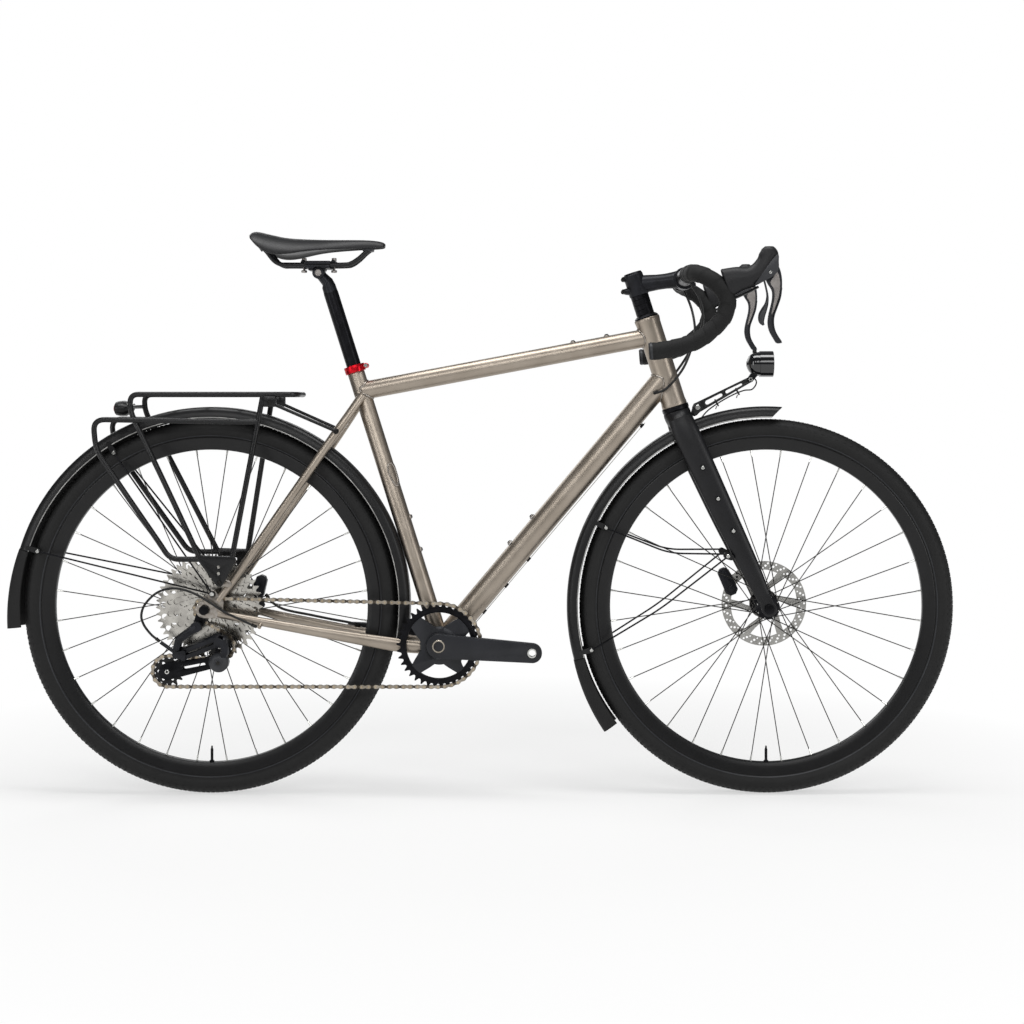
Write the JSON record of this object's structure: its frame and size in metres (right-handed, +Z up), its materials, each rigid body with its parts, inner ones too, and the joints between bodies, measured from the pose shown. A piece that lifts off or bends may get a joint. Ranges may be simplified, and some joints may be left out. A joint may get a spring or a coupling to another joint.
{
  "type": "touring bicycle",
  "caption": "Touring gravel bicycle with drop bar, disc brakes, fenders, rear rack, lamps and a rear derailleur; steering, wheels, cranks, gears, levers and seatpost move.",
  "frame": {"origin": "centre of the bottom bracket shell, on the bicycle's centre plane", "axes": "+X forward, +Z up, the drive side faces -Y; the ground would be at Z -0.282"},
  "size_m": [1.7675, 0.452, 1.0488],
  "materials": {
    "titanium": "brushed",
    "red_anodised": "anodised",
    "black_metal": "matte black anodised",
    "matte_carbon": "matte",
    "bar_tape": "soft wrapped",
    "rubber": "matte",
    "tyre": "matte tread",
    "black_plastic": "satin",
    "gloss_black": "gloss",
    "steel": "satin",
    "chain_steel": "satin bronze",
    "saddle_cover": "smooth"
  },
  "bodies": {
    "frame": {"head_tube": "titanium", "top_tube": "titanium", "down_tube": "titanium", "seat_tube": "titanium", "bottom_bracket": "titanium", "rear_triangle": "titanium", "seat_clamp": "red_anodised", "headset_cup": "black_metal", "rear_fender": "black_plastic", "rear_mudflap": "black_plastic", "rear_stays_right": "black_metal", "rear_stays_left": "black_metal", "luggage_rack": "black_metal", "tail_light": "black_plastic", "rear_caliper": "black_metal", "rear_axle": "black_metal", "chain": "chain_steel", "rear_hose": "rubber", "gear_housing": "rubber", "derailleur_b_knuckle": "black_metal"},
    "steering": {"fork": "matte_carbon", "stem": "black_metal", "handlebar": "black_metal", "bar_tape_right": "bar_tape", "bar_tape_left": "bar_tape", "lever_hood_right": "rubber", "lever_hood_left": "rubber", "front_fender": "black_plastic", "front_mudflap": "black_plastic", "front_stays_right": "black_metal", "front_stays_left": "black_metal", "light_bracket": "black_metal", "front_caliper": "black_metal", "front_axle": "black_metal", "bar_cables": "rubber"},
    "headlight": {"headlight": "gloss_black"},
    "brake_lever_right": {"brake_lever_right": "matte_carbon"},
    "brake_lever_left": {"brake_lever_left": "matte_carbon"},
    "shift_paddle": {"shift_paddle": "matte_carbon"},
    "front_wheel": {"front_tyre": "tyre", "front_rim": "black_metal", "front_hub": "black_metal", "front_rotor": "steel"},
    "rear_wheel": {"rear_tyre": "tyre", "rear_rim": "black_metal", "rear_hub": "black_metal", "rear_rotor": "steel"},
    "cassette": {"cassette": "steel"},
    "crankset": {"chainring": "black_metal", "crank_right": "matte_carbon", "crank_left": "matte_carbon"},
    "outer_link": {"derailleur_outer_link": "black_metal"},
    "inner_link": {"derailleur_inner_link": "black_metal"},
    "p_knuckle": {"derailleur_p_knuckle": "black_metal"},
    "cage": {"derailleur_cage": "black_metal"},
    "upper_pulley": {"upper_pulley": "black_plastic"},
    "lower_pulley": {"lower_pulley": "black_plastic"},
    "seatpost": {"seatpost": "black_metal"},
    "saddle": {"saddle": "saddle_cover", "saddle_rails": "black_metal"}
  },
  "joints": [
    {"name": "steering_turn", "type": "hinge", "parent": "frame", "child": "steering", "pos_m": [0.3851, 0, 0.6058], "axis": [-0.304, 0, 0.9527], "range_deg": [-70, 70], "deforming": ["bar_cables"]},
    {"name": "front_wheel_spin", "type": "hinge", "parent": "steering", "child": "front_wheel", "pos_m": [0.6084, 0, 0.068], "axis": [0, 1, 0], "continuous": true},
    {"name": "rear_wheel_spin", "type": "hinge", "parent": "frame", "child": "rear_wheel", "pos_m": [-0.4286, 0, 0.068], "axis": [0, 1, 0], "continuous": true},
    {"name": "crank_spin", "type": "hinge", "parent": "frame", "child": "crankset", "pos_m": [0, 0, 0], "axis": [0, 1, 0], "continuous": true, "deforming": ["chain"]},
    {"name": "cassette_spin", "type": "hinge", "parent": "frame", "child": "cassette", "pos_m": [-0.4286, 0, 0.068], "axis": [0, 1, 0], "continuous": true},
    {"name": "link_swing", "type": "hinge", "parent": "frame", "child": "outer_link", "pos_m": [-0.46476, -0.08216, -0.0046], "axis": [0, 0.8539, 0.5205], "range_deg": [0, 62.66], "stiffness_Nm_per_rad": 0.6, "springref_deg": -28.65, "deforming": ["chain"]},
    {"name": "inner_link_swing", "type": "hinge", "parent": "frame", "child": "inner_link", "pos_m": [-0.46652, -0.07388, -0.01818], "axis": [0, 0.8539, 0.5205], "range_deg": [0, 62.66]},
    {"name": "p_knuckle_swing", "type": "hinge", "parent": "outer_link", "child": "p_knuckle", "pos_m": [-0.40112, -0.09764, 0.02079], "axis": [0, 0.8539, 0.5205], "range_deg": [-62.66, 0]},
    {"name": "cage_swing", "type": "hinge", "parent": "p_knuckle", "child": "cage", "pos_m": [-0.3993, -0.0735, -0.0261], "axis": [0, -1, 0], "range_deg": [0, 60], "stiffness_Nm_per_rad": 0.3, "springref_deg": -34.38, "deforming": ["chain"]},
    {"name": "upper_pulley_spin", "type": "hinge", "parent": "cage", "child": "upper_pulley", "pos_m": [-0.4, -0.0625, 0], "axis": [0, 1, 0], "continuous": true},
    {"name": "lower_pulley_spin", "type": "hinge", "parent": "cage", "child": "lower_pulley", "pos_m": [-0.4974, -0.0625, -0.0456], "axis": [0, 1, 0], "continuous": true},
    {"name": "brake_pull_right", "type": "hinge", "parent": "steering", "child": "brake_lever_right", "pos_m": [0.592, -0.21, 0.676], "axis": [0, 1, 0], "range_deg": [0, 22], "stiffness_Nm_per_rad": 1, "springref_deg": -14.32},
    {"name": "brake_pull_left", "type": "hinge", "parent": "steering", "child": "brake_lever_left", "pos_m": [0.592, 0.21, 0.676], "axis": [0, 1, 0], "range_deg": [0, 22], "stiffness_Nm_per_rad": 1, "springref_deg": -14.32},
    {"name": "shift_swing", "type": "hinge", "parent": "brake_lever_right", "child": "shift_paddle", "pos_m": [0.5815, -0.21, 0.669], "axis": [1, 0, 0], "range_deg": [0, 12], "stiffness_Nm_per_rad": 0.3, "springref_deg": -11.46},
    {"name": "headlight_tilt", "type": "hinge", "parent": "steering", "child": "headlight", "pos_m": [0.579, 0, 0.4913], "axis": [0, 1, 0], "range_deg": [-20, 30]},
    {"name": "seatpost_height", "type": "slide", "parent": "frame", "child": "seatpost", "axis": [-0.3007, 0, 0.9537], "range_m": [-0.14, 0.08]},
    {"name": "saddle_tilt", "type": "hinge", "parent": "seatpost", "child": "saddle", "pos_m": [-0.228, 0, 0.69], "axis": [0, 1, 0], "range_deg": [-8, 8]}
  ],
  "couplings": [
    {"joint": "inner_link_swing", "follows": "link_swing", "ratio": 1},
    {"joint": "p_knuckle_swing", "follows": "link_swing", "ratio": -1},
    {"joint": "cassette_spin", "follows": "crank_spin", "ratio": 3.8},
    {"joint": "upper_pulley_spin", "follows": "crank_spin", "ratio": -3.1667},
    {"joint": "lower_pulley_spin", "follows": "crank_spin", "ratio": 2.7143}
  ]
}
